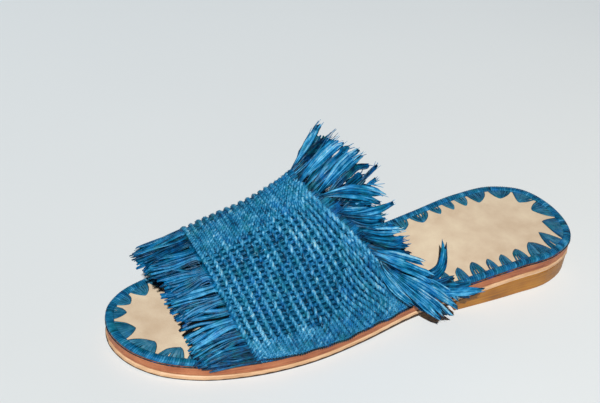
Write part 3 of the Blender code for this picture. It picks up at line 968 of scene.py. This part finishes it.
def loose_fibres(rng):
    count = FIBRES
    across = rng.uniform(0.01, 0.99, count)
    row = rng.integers(0, len(RIBS), count)
    place = np.array([float(rib_place(RIBS[i], np.array(at))) for i, at in zip(row, across)])
    place = place + rng.normal(-0.002, 0.006, count)
    heading = rng.normal(0.3, 0.45, count)
    size = rng.uniform(0.5, 1.9, count)
    t = np.linspace(-0.5, 0.5, 5)
    run = size[:, None] * t
    aside = run * np.sin(heading)[:, None] + 0.5 * rng.normal(0, 1, count)[:, None] * t**2
    across = across[:, None] + run * np.cos(heading)[:, None] / BAND_ROUND
    place = place[:, None] + aside / BAND_LONG
    lift = rng.uniform(0.10, 0.30, count)[:, None] - 1.4 * rng.uniform(0, 1, count)[:, None] * t**2
    lines, outward = on_band(across, place, sway(across, place) + lift * MM)
    widths = rng.uniform(0.07, 0.17, count)[:, None] * (1 - 2.4 * t**2) * MM
    shades = rng.uniform(0.40, 0.90, count)[:, None] + 0 * t
    return lines, outward, widths, shades


strand_piece(
    "band_loose_fibres",
    [flat_strands(
        *loose_fibres(np.random.default_rng(15)), thick=0.07 * MM, fold=0.02 * MM, salt=3.0)],
    dyed_raffia("loose fibre raffia", RAFFIA_STOPS, streak=0.3, gloss=0.45, bump=0.00003),
)


# ---- Front fringe ----------------------------------------------------------------------------
# Past the first row the long strands are left loose towards the toe and cut off 20 to 30 mm out.
# The weaver's pull bunches them in flat tufts, each lying its own way, some with a folded strand.

FRINGE_STOPS = [
    (0.00, paint(0, 26, 50)), (0.25, paint(0, 70, 111)), (0.50, paint(10, 110, 160)),
    (0.75, paint(74, 158, 202)), (1.00, paint(164, 206, 218)),
]
FRONT_TUFTS = [  # across from, to; from the band's edge in mm: to the medial side, ahead, up
    (0.000, 0.034, 5.8, 27.0, 2.0), (0.034, 0.062, 7.5, 24.5, -0.5),
    (0.062, 0.098, 4.0, 24.0, -4.0),
    (0.098, 0.158, 2.5, 25.0, -7.0), (0.158, 0.211, 1.5, 23.0, -8.0),
    (0.211, 0.249, 5.5, 22.0, -4.5), (0.249, 0.302, 3.0, 23.0, -6.5),
    (0.302, 0.342, 4.5, 24.0, -5.5), (0.342, 0.423, 3.0, 21.5, -5.5),
    (0.423, 0.500, 2.0, 25.0, -6.5), (0.500, 0.570, 0.0, 26.5, -7.0),
    (0.570, 0.640, -2.0, 25.0, -6.5), (0.640, 0.700, -4.5, 23.5, -6.0),
    (0.700, 0.755, -2.0, 24.0, -5.5), (0.755, 0.800, -5.0, 22.5, -6.0),
    (0.800, 0.850, -2.5, 23.0, -7.0), (0.850, 0.905, -3.0, 25.0, -6.5),
    (0.905, 0.950, -4.0, 24.0, -5.5), (0.950, 1.000, -4.0, 20.0, -4.5),
]


FRONT_ROUND = 134  # mm over the band's front edge
LAYER_SPACING = (0.85, 0.80, 1.4)  # mm from strand to strand, outermost layer first
# Deeper layers are painted darker: painted shade under the outer strands.
LAYER_GATHER, LAYER_PAINTED_SHADE = (0.38, 0.30, 0.10), (0.0, 0.10, 0.36)
CROSSING, CROSSING_REACH = 0.24, 3.4  # share of strands that stray over others, and how far
FRONT_PALEST = 0.56


def front_strands(rng):
    strands = []
    t = np.linspace(0, 1, 13)
    for left, right, *reach in FRONT_TUFTS:
        reach, middle = np.array(reach) * MM, (left + right) / 2
        size, span = np.linalg.norm(reach), (right - left) * FRONT_ROUND
        # The lowest tufts are painted darker: painted shade against the light they catch at a
        # grazing angle.
        tone = rng.normal(0.37, 0.07) - (0.26 if left < 0.05 else 0.16 * (left < 0.13))
        swing = rng.normal(0, 1.1)
        for layer, spacing in enumerate(LAYER_SPACING):
            count = max(4, round(span / spacing))
            for k in range(count):
                share = (k + rng.uniform(0.15, 0.85)) / count - 0.5
                across = middle + share * (right - left)
                sunk = (-0.35 - 0.42 * layer) * MM
                root, outward = on_band(np.array(across), np.array(0.014), sunk)
                further, _ = on_band(np.array(across), np.array(-0.03), sunk)
                slope = unit(further - root)
                aside = unit(np.cross(outward, unit(reach)))
                off = root - on_band(middle, 0.014, sunk)[0]
                bend = root + slope * size * 0.40
                strays = rng.random() < CROSSING and 0.07 < left < 0.93
                reach_aside = CROSSING_REACH if strays else 1.0
                drift = (swing + reach_aside * rng.normal(0, 1.1)) * MM
                tip = root + reach * rng.uniform(0.84, 1.04) + off * 0.12 + aside * drift
                tip = tip + outward * 0.8 * MM
                tip = tip - outward * (0.5 * layer + rng.normal(0, 0.26)) * MM
                gather = np.sin(np.pi * np.sqrt(np.clip(t / 0.62, 0, 1))) * LAYER_GATHER[layer]
                line = curve_through(root, bend, tip, t[:, None]) - off * gather[:, None]
                wave = np.sin(t * rng.uniform(4, 9) + rng.uniform(0, 6)) * t * rng.normal(0, 0.34)
                line = line + aside * wave[:, None] * MM
                wide = rng.uniform(0.50, 1.12) * (0.64 + 0.30 * ease(0.0, 0.35, t))
                wide = wide * (1 - 0.35 * ease(0.95, 1.0, t)) * MM
                twist = rng.normal(0, 0.42) * t + rng.normal(0, 0.18)
                # Painted shade: deeper layers darker; each strand also runs from darker at its root
                # to paler at its tip.
                shade = min(tone + rng.normal(0, 0.14), FRONT_PALEST) - LAYER_PAINTED_SHADE[layer]
                shade = shade + 0.10 * (t - 0.5)
                strands.append((line, np.broadcast_to(outward, line.shape), wide, shade, twist))
    return [np.array(values) for values in zip(*strands)]


front = strand_piece(
    "front_fringe_strands",
    [flat_strands(
        *front_strands(np.random.default_rng(21)), thick=0.18 * MM, crease=0.16, salt=4.0)],
    dyed_raffia("front fringe raffia", FRINGE_STOPS, streak=0.85, gloss=0.36, crease_shade=0.22),
)
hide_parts("front_fringe")


# ---- Back fringe -----------------------------------------------------------------------------
# Behind the last row the strands run on side by side for a few millimetres and are then left as
# wide, unsplit ribbons 20 to 50 mm long. They stand up off the crest, fall out over the sole's
# edge on the sides, and split into torn fingers at their ends.

BACK_RIBBONS = [  # across; bend, then tip, from the root in mm: to the medial side, ahead, up;
    # width in mm, quarter-turn of its face (0 lies as the band does), tone, how far it is torn
    (0.555, 4.0, -10.0, 13.8, 9.8, -18.6, 18.7, 3.3, -0.60, 0.58, 0.20),
    (0.575, 2.9, -11.2, 13.2, 9.2, -20.3, 18.9, 3.8, -0.70, 0.54, 0.25),
    (0.600, 2.6, -13.2, 13.1, 6.9, -23.8, 15.8, 2.9, -0.30, 0.40, 0.20),
    (0.535, -0.7, -13.6, 10.3, 4.1, -22.2, 14.6, 5.1, -0.50, 0.34, 0.10),
    (0.490, 0.8, -14.0, 15.1, 4.9, -24.4, 17.2, 5.5, -0.30, 0.56, 0.30),
    (0.455, 0.8, -14.6, 15.1, 4.9, -25.4, 16.2, 5.3, -0.05, 0.52, 0.35),
    (0.432, 0.1, -13.6, 15.7, 5.9, -24.8, 17.2, 5.7, 0.05, 0.74, 0.10),
    (0.413, 2.6, -14.4, 14.0, 6.0, -24.0, 15.0, 5.1, -0.17, 0.44, 0.30),
    (0.398, 1.0, -14.8, 9.9, 4.6, -20.1, 9.5, 3.2, 0.15, 0.36, 0.20),
    (0.375, 2.4, -16.4, 13.3, 6.6, -24.3, 15.8, 1.8, 0.15, 0.34, 0.50),
    (0.364, 1.2, -15.6, 11.3, 4.1, -21.7, 12.1, 1.8, -0.05, 0.40, 0.50),
    (0.425, -5.4, -14.7, 7.2, -8.3, -31.3, -3.1, 5.9, -0.17, 0.56, 0.30),
    (0.414, -2.4, -15.2, 7.1, -4.6, -28.4, 1.1, 4.1, -0.17, 0.50, 0.30),
    (0.399, -5.3, -13.6, 2.3, -5.8, -22.7, -2.3, 4.1, -0.17, 0.34, 0.20),
    (0.361, -7.5, -13.5, -0.4, -4.4, -27.1, 3.0, 3.0, 0.15, 0.50, 0.30),
    (0.371, -2.7, -10.3, 2.0, -4.4, -18.8, -1.3, 4.1, 0.25, 0.58, 0.40),
    (0.349, -6.6, -11.3, -0.7, -6.2, -20.6, -3.1, 5.3, 0.05, 0.44, 0.45),
    (0.336, -5.7, -11.4, -1.9, -5.5, -18.6, -3.6, 3.5, -0.17, 0.50, 0.35),
    (0.299, -5.9, -11.6, -0.1, -6.5, -24.2, -3.0, 3.8, -0.05, 0.56, 0.30),
    (0.280, -8.9, -13.6, -2.9, -6.9, -24.2, -3.4, 3.8, 0.25, 0.46, 0.35),
    (0.269, -8.3, -14.5, -2.2, -7.5, -23.7, -4.4, 2.7, 0.25, 0.34, 0.30),
    (0.223, -8.5, -10.0, 0.6, -12.5, -26.3, -8.6, 5.7, 0.05, 0.58, 0.20),
    (0.217, -4.4, -11.3, 3.2, -5.5, -18.6, -2.9, 2.7, 0.05, 0.48, 0.40),
    (0.201, -12.6, -14.2, -1.4, -14.9, -28.1, -10.9, 4.8, -0.05, 0.50, 0.30),
    (0.185, -9.3, -1.5, -8.4, -14.4, -16.5, -21.2, 5.1, -0.05, 0.58, 0.20),
    (0.170, -17.9, -10.1, -7.6, -22.2, -29.1, -27.1, 5.3, -0.17, 0.54, 0.25),
    (0.150, -14.8, -13.0, -2.3, -19.7, -31.1, -21.4, 5.3, 0.05, 0.50, 0.25),
    (0.129, -9.2, -15.8, 3.1, -17.2, -32.2, -16.5, 5.1, 0.05, 0.52, 0.25),
    (0.097, -13.1, -13.7, -6.8, -15.5, -21.9, -18.3, 4.8, -0.05, 0.42, 0.30),
    (0.079, -11.1, -15.9, -0.6, -15.6, -46.2, -2.2, 4.2, 0.02, 0.54, 0.05),
    (0.074, -10.0, -16.1, -0.8, -15.8, -39.0, -3.4, 2.6, 0.05, 0.44, 0.05),
    (0.088, -9.5, -17.4, -2.2, -9.9, -32.4, -1.1, 3.0, 0.05, 0.34, 0.20),
    (0.053, -6.0, -6.6, -4.3, -8.3, -15.3, -10.3, 4.6, 0.05, 0.40, 0.30),
    (0.030, -4.0, -8.0, -1.0, -5.0, -14.5, -4.0, 3.5, -0.17, 0.38, 0.30),
    (0.630, 2.0, -13.0, 11.5, 7.0, -23.0, 13.0, 4.8, -0.02, 0.46, 0.25),
    (0.662, 3.0, -13.5, 8.5, 9.5, -24.5, 8.0, 5.0, -0.22, 0.54, 0.30),
    (0.692, 4.5, -13.0, 6.0, 8.5, -26.0, 3.5, 4.2, -0.12, 0.40, 0.25),
    (0.715, 6.0, -14.0, 3.5, 7.0, -24.5, 0.5, 4.8, -0.02, 0.50, 0.35),
    (0.742, 7.0, -13.0, 1.5, 8.0, -25.5, -2.5, 4.5, -0.32, 0.44, 0.30),
    (0.770, 8.0, -12.5, 0.5, 11.0, -26.0, -5.0, 5.0, -0.32, 0.56, 0.25),
    (0.798, 9.5, -13.0, -1.0, 12.0, -27.0, -8.0, 4.7, -0.32, 0.42, 0.30),
    (0.825, 11.0, -12.0, -2.0, 12.5, -26.5, -11.0, 5.0, -0.12, 0.52, 0.25),
    (0.853, 11.5, -12.0, -4.0, 12.0, -27.0, -14.0, 4.8, -0.22, 0.46, 0.30),
    (0.880, 10.0, -13.0, -3.5, 11.5, -26.0, -13.0, 4.7, -0.44, 0.54, 0.25),
    (0.905, 9.0, -13.0, -2.5, 10.5, -28.0, -9.5, 4.2, -0.02, 0.40, 0.30),
    (0.930, 8.0, -11.0, -2.5, 9.0, -22.0, -7.5, 4.0, -0.22, 0.48, 0.30),
    (0.958, 5.5, -8.5, -2.0, 7.0, -16.0, -5.0, 3.9, -0.44, 0.42, 0.30),
]
# One ribbon on the outer side lies down over the binding and is folded back up on the footbed.
FOLDED_RIBBON = (0.190, -10.4, -38.8, -31.8, 16.6, -48.4, -10.2, 5.2, -0.10, 0.42, 0.08)
BACK_TONE, BACK_SPREAD, BACK_PALEST = 0.39, 1.8, 0.64
LOW_SIDE, LOW_PALER = 0.2, 0.09  # ribbons below this share across are paler


def hem_reach(across):
    """How far past the last row the strands still lie side by side, as a share of the band."""
    return 0.012 + 0.058 * np.exp(-(((across - 0.36) / 0.085) ** 4))


def under_hem(across, sunk, inset=0.012):
    """Where a ribbon starts, a share of the band inside the hem's end and sunk in mm."""
    return on_band(across, 1 + hem_reach(across) - inset, sunk * MM)


BACK_ROUND = 188  # mm over the band's back edge
HEM_SPACING = 1.05


def hem_strands(rng):
    even = np.arange(0.006, 0.996, HEM_SPACING / BACK_ROUND)
    across = even + rng.normal(0, 0.0006, len(even))
    t = np.linspace(0, 1, 8)
    place = 0.975 + (0.025 + hem_reach(across) + 0.022)[:, None] * t
    sunk = -0.55 + rng.normal(0, 0.12, len(across))[:, None] - 0.5 * t**2
    astray = rng.normal(0, 0.0012, len(across))[:, None] * t
    lines, outward = on_band(across[:, None] + astray, place, sunk * MM)
    widths = rng.uniform(0.56, 0.72, len(across))[:, None] * (1 - 0.3 * t**3) * MM
    shades = rng.normal(0.30, 0.10, len(across))[:, None] - 0.06 * t
    return lines, outward, widths, shades


STATIONS = np.array([1.0, 0.72, 0.36, 0.0, -0.33, -0.70, -1.0])  # across a ribbon
CREASES = np.array([0.0, 0.5, 1.0, -0.4, 0.7, -0.3, 0.0])
TORN_SHORT = [0.0, 0.9, 0.1, 0.8, 0.3, 1.0, 0.5]
RIBBON_THICK = 0.14
WIDE_RIBBON = 4.3  # mm; a ribbon as wide as this has split in two


def lay_ribbon(
    rng, strips, root, outward, bend, tip, width, turn, tone, torn, ragged=0.10, parts=0
):
    """One wide ribbon, creased lengthwise and torn off raggedly in one or two strips, in mm."""
    t = np.linspace(0, 1, 17)
    bend, tip = root + np.array(bend) * MM, root + np.array(tip) * MM
    middle = curve_through(root, bend, tip, t[:, None])
    along = unit(np.gradient(middle, axis=0))
    face = unit(outward - (outward @ along.T)[:, None] * along)
    side = np.cross(face, along)
    cos, sin = math.cos(turn * np.pi / 2), math.sin(turn * np.pi / 2)
    face, side = face * cos + side * sin, side * cos - face * sin
    shares = rng.uniform(0.6, 1.4, parts or (1 if width < WIDE_RIBBON else 2))
    shares = shares / shares.sum()
    edges = np.cumsum(shares) - shares / 2 - 0.5
    belly = 0.34 + 0.78 * ease(0.0, 0.55, t)  # drawn together at the root
    for centre, share in zip(edges, shares):
        taper = 1 - rng.uniform(0.10, 0.55) * ease(rng.uniform(0.74, 0.90), 1.04, t)
        ripple = 1 + np.interp(t, np.linspace(0, 1, 8), rng.normal(0, 0.09, 8))
        half = 0.5 * share * width * belly * taper * ripple * 1.08
        opened = ease(1 - torn, 1.1, t) * torn * (2 * centre + rng.normal(0, 0.45)) * width * 0.8
        aside = centre * width * belly + opened + half * rng.uniform(-0.5, 0.5) * ease(0.7, 1, t)
        aside = aside + 0.25 * np.sin(t * rng.uniform(3, 8) + rng.uniform(0, 6)) * t
        raised = rng.normal(0, 0.20) + ease(1 - torn, 1.1, t) * rng.normal(0, 0.9)
        crease = rng.choice([-1, 1]) * CREASES * rng.uniform(0.14, 0.46)
        wander = np.array([
            np.interp(t, np.linspace(0, 1, 5), rng.normal(0, 0.10, 5)) for _ in STATIONS])
        high = (crease[None] + wander.T) * half[:, None]
        short = rng.uniform(0, ragged) + ragged * rng.permutation(TORN_SHORT)
        place = (t[:, None] * (1 - short * ease(0.55, 1.0, t)[:, None])).ravel()
        line, toward, facing = (
            np.stack([np.interp(place, t, column) for column in part.T], 1).reshape(
                len(t), len(STATIONS), 3)
            for part in (middle, side, face))
        across = half[:, None] * STATIONS
        flat = line + toward * ((aside[:, None] + across) * MM)[..., None]
        top, under = (
            flat + facing * ((raised[:, None] + high + lift) * MM)[..., None]
            for lift in (RIBBON_THICK / 2, -RIBBON_THICK / 2))
        # Painted light and shade: crease faces that stand up are painted paler and valleys darker,
        # one side of each strip paler; strip edges are painted dark as shade between strips, the
        # root as shadow under the other ribbons, and the underside darker still.
        lit = 0.09 * rng.choice([-1, 1]) * STATIONS + 0.75 * (high / half[:, None])
        shade = tone + rng.normal(0.03, 0.08) + lit - 0.26 * (abs(STATIONS) == 1)
        shade = shade + (0.10 * (t - 0.6) - 0.40 * ease(0.30, 0.0, t))[:, None]
        strips.append((
            np.concatenate([top, under[:, ::-1]], 1),
            np.concatenate([across, across[:, ::-1]], 1) * MM,
            np.concatenate([shade, shade[:, ::-1] - 0.12], 1),
        ))


def back_ribbons(rng):
    strips = []
    for number, (across, *sizes, width, turn, tone, torn) in enumerate(BACK_RIBBONS):
        root, outward = under_hem(across, -1.5 + 0.40 * (number % 3), inset=0.026)
        raise_face = outward * (number * 0.618 % 1 - 0.4) * 3.4
        tone = BACK_TONE + BACK_SPREAD * (tone - 0.48) + LOW_PALER * (across < LOW_SIDE)
        tone = min(tone, BACK_PALEST)
        lay_ribbon(
            rng, strips, root, outward, sizes[:3] + raise_face, sizes[3:], width, turn, tone, torn)
    root, outward = under_hem(FOLDED_RIBBON[0], -0.3)
    lay_ribbon(
        rng, strips, root, outward, FOLDED_RIBBON[1:4], FOLDED_RIBBON[4:7], *FOLDED_RIBBON[7:],
        ragged=0.09, parts=1)
    ordered = sorted(BACK_RIBBONS)
    for left, right in zip(ordered, ordered[1:]):  # shorter ribbons behind two neighbours, painted dark as the shade in their gaps
        if math.dist(left[4:7], right[4:7]) > 16 or right[0] - left[0] > 0.05:
            continue
        mean = (np.array(left) + np.array(right)) / 2
        root, outward = under_hem(mean[0], -2.1)
        size = rng.uniform(0.62, 0.80)
        lay_ribbon(
            rng, strips, root, outward, mean[1:4] * size - outward * 0.8, mean[4:7] * size,
            rng.uniform(5.4, 7.0), mean[8], rng.uniform(-0.02, 0.16), 0.3, ragged=0.05)
    return [np.array(values) for values in zip(*strips)]


HAIRS, STRAYS = 4, 90  # hairs at each ribbon's end, and strands split off in all
HAIRS_FROM = 0.25  # share across above which ribbons have hairs


def back_strays(rng):
    """The hairs at the ribbons' torn ends, and narrow strands that have split off the ribbons."""
    t = np.linspace(0, 1, 14)
    strands = []
    for across, *sizes, width, _, tone, _ in BACK_RIBBONS:
        if across < HAIRS_FROM:
            continue
        root, outward = under_hem(across, -0.8)
        bend, tip = np.array(sizes[:3]) * MM, np.array(sizes[3:]) * MM
        for _ in range(HAIRS):
            hair = 0.70 + (rng.uniform(0.94, 1.04) - 0.70) * t
            line = curve_through(root, root + bend, root + tip, hair[:, None])
            along = unit(tip - bend)
            side = unit(np.cross(outward, along))
            aside = rng.uniform(-0.55, 0.55) * width + rng.normal(0, 0.9) * t**2
            line = line + side * (aside * MM)[:, None] + outward * rng.normal(0, 0.5) * MM
            wide = rng.uniform(0.12, 0.30) * (1 - 0.6 * t**3) * MM
            twist = rng.normal(0, 0.5) * t
            shade = tone + rng.normal(-0.02, 0.14) + 0.08 * t
            strands.append((line, np.broadcast_to(outward, line.shape), wide, shade, twist))
    for _ in range(STRAYS):
        across = rng.uniform(0.02, 0.98)
        near = BACK_RIBBONS[int(np.argmin([abs(row[0] - across) for row in BACK_RIBBONS]))]
        bend, tip = np.array(near[1:4]) * MM, np.array(near[4:7]) * MM
        root, outward = under_hem(across, -0.9)
        size = rng.uniform(0.45, 0.92)
        stray = rng.normal(0, 1.6, 3) * MM
        line = curve_through(root, root + bend * size, root + tip * size + stray, t[:, None])
        wide = rng.uniform(0.18, 0.60) * (1 - 0.6 * t**3) * MM
        twist = rng.normal(0, 0.8) * t
        shade = rng.normal(0.34, 0.16) + 0.05 * t
        strands.append((line, np.broadcast_to(outward, line.shape), wide, shade, twist))
    return [np.array(values) for values in zip(*strands)]


ribbon_rings, ribbon_across, ribbon_shades = back_ribbons(np.random.default_rng(22))
back = strand_piece(
    "back_fringe_strands",
    [
        (ribbon_rings, strand_lay(ribbon_rings, ribbon_across, 5.0), ribbon_shades),
        flat_strands(
            *back_strays(np.random.default_rng(24)), thick=0.16 * MM, crease=0.25, salt=6.0),
        flat_strands(
            *hem_strands(np.random.default_rng(23)), thick=0.30 * MM, fold=0.10 * MM, salt=9.0),
    ],
    dyed_raffia("back fringe raffia", FRINGE_STOPS, streak=1.10, gloss=0.36, crease_shade=0.42),
)
back.data.set_sharp_from_angle(angle=math.radians(24))
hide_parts("back_fringe")


# ---- Studio ----------------------------------------------------------------------------------
# A pale matt floor, one small bright lamp above and behind the camera, one weak wide lamp on the
# far side, and pale light from all round. The camera looks down on the left shoe's outer side.


def pale_floor():
    finish = Finish("studio floor")
    where = finish.where()
    patch = finish.noise(where, 3.0, detail=2.0)
    colour = finish.ramp(patch, [(0.35, paint(229, 234, 237)), (0.65, paint(233, 238, 240))])
    place = finish.node("SeparateXYZ", {"Vector": where}).outputs
    # Painted light: the floor is painted darker towards +Y and paler towards +X, as the lamps'
    # fall-off.
    colour = finish.mix(finish.spread(place["Y"], -0.15, 0.6), colour, paint(205, 212, 216))
    colour = finish.mix(finish.spread(place["X"], 0.02, 0.45), colour, paint(240, 249, 255))
    rough = finish.spread(patch, 0.3, 0.7, 0.82, 0.9)
    return finish.done(colour, rough)


floor_mesh = bpy.data.meshes.new("studio_floor")
floor_mesh.from_pydata([(-3, -3, 0), (3, -3, 0), (3, 3, 0), (-3, 3, 0)], [], [(0, 1, 2, 3)])
floor_mesh.materials.append(pale_floor())
studio_floor = put("studio_floor", floor_mesh)

CAMERA_AT = Vector((-0.4185, 0.3352, 0.3883))
YAW, PITCH, ROLL = (math.radians(angle) for angle in (-27.57, 34.50, 4.778))


def camera_axes():
    level_share = math.cos(PITCH)
    ahead = Vector((math.cos(YAW) * level_share, math.sin(YAW) * level_share, -math.sin(PITCH)))
    level = Vector((math.sin(YAW), -math.cos(YAW), 0.0))
    upright = level.cross(ahead)
    right = level * math.cos(ROLL) + upright * math.sin(ROLL)
    up = upright * math.cos(ROLL) - level * math.sin(ROLL)
    return right, up, ahead


right, up, ahead = camera_axes()
lens = bpy.data.cameras.new("camera")
lens.lens = 72.0
lens.sensor_width = 36.0
lens.clip_start, lens.clip_end = 0.01, 20.0
camera = put("camera", lens)
camera.matrix_world = Matrix.Translation(CAMERA_AT) @ Matrix((
    (right.x, up.x, -ahead.x), (right.y, up.y, -ahead.y), (right.z, up.z, -ahead.z),
)).to_4x4()
bpy.context.scene.camera = camera

SHOE_MIDDLE = Vector((0.0, 0.085, 0.02))


def lamp(name, at, size, power, colour):
    light = bpy.data.lights.new(name, "AREA")
    light.shape = "DISK"
    light.size = size
    light.energy = power
    light.color = colour
    made = put(name, light)
    made.location = at
    made.rotation_euler = (SHOE_MIDDLE - at).to_track_quat("-Z", "Y").to_euler()


KEY_BACK, KEY_LEFT, KEY_UP = 2.40, 0.03, 0.50  # from the shoe's middle, as the camera sees it
key_at = SHOE_MIDDLE - ahead * KEY_BACK - right * KEY_LEFT + up * KEY_UP
lamp("key", key_at, size=0.06, power=79.5, colour=(1.0, 0.985, 0.96))
lamp("back fill", Vector((1.2, -1.2, 0.45)), size=1.2, power=3.0, colour=(0.93, 0.97, 1.0))

world = bpy.data.worlds.new("studio")
world.use_nodes = True
sky = world.node_tree.nodes["Background"].inputs
sky["Color"].default_value = (0.90, 0.95, 1.0, 1.0)
sky["Strength"].default_value = 0.030
bpy.context.scene.world = world
bpy.context.scene.view_settings.view_transform = "Standard"
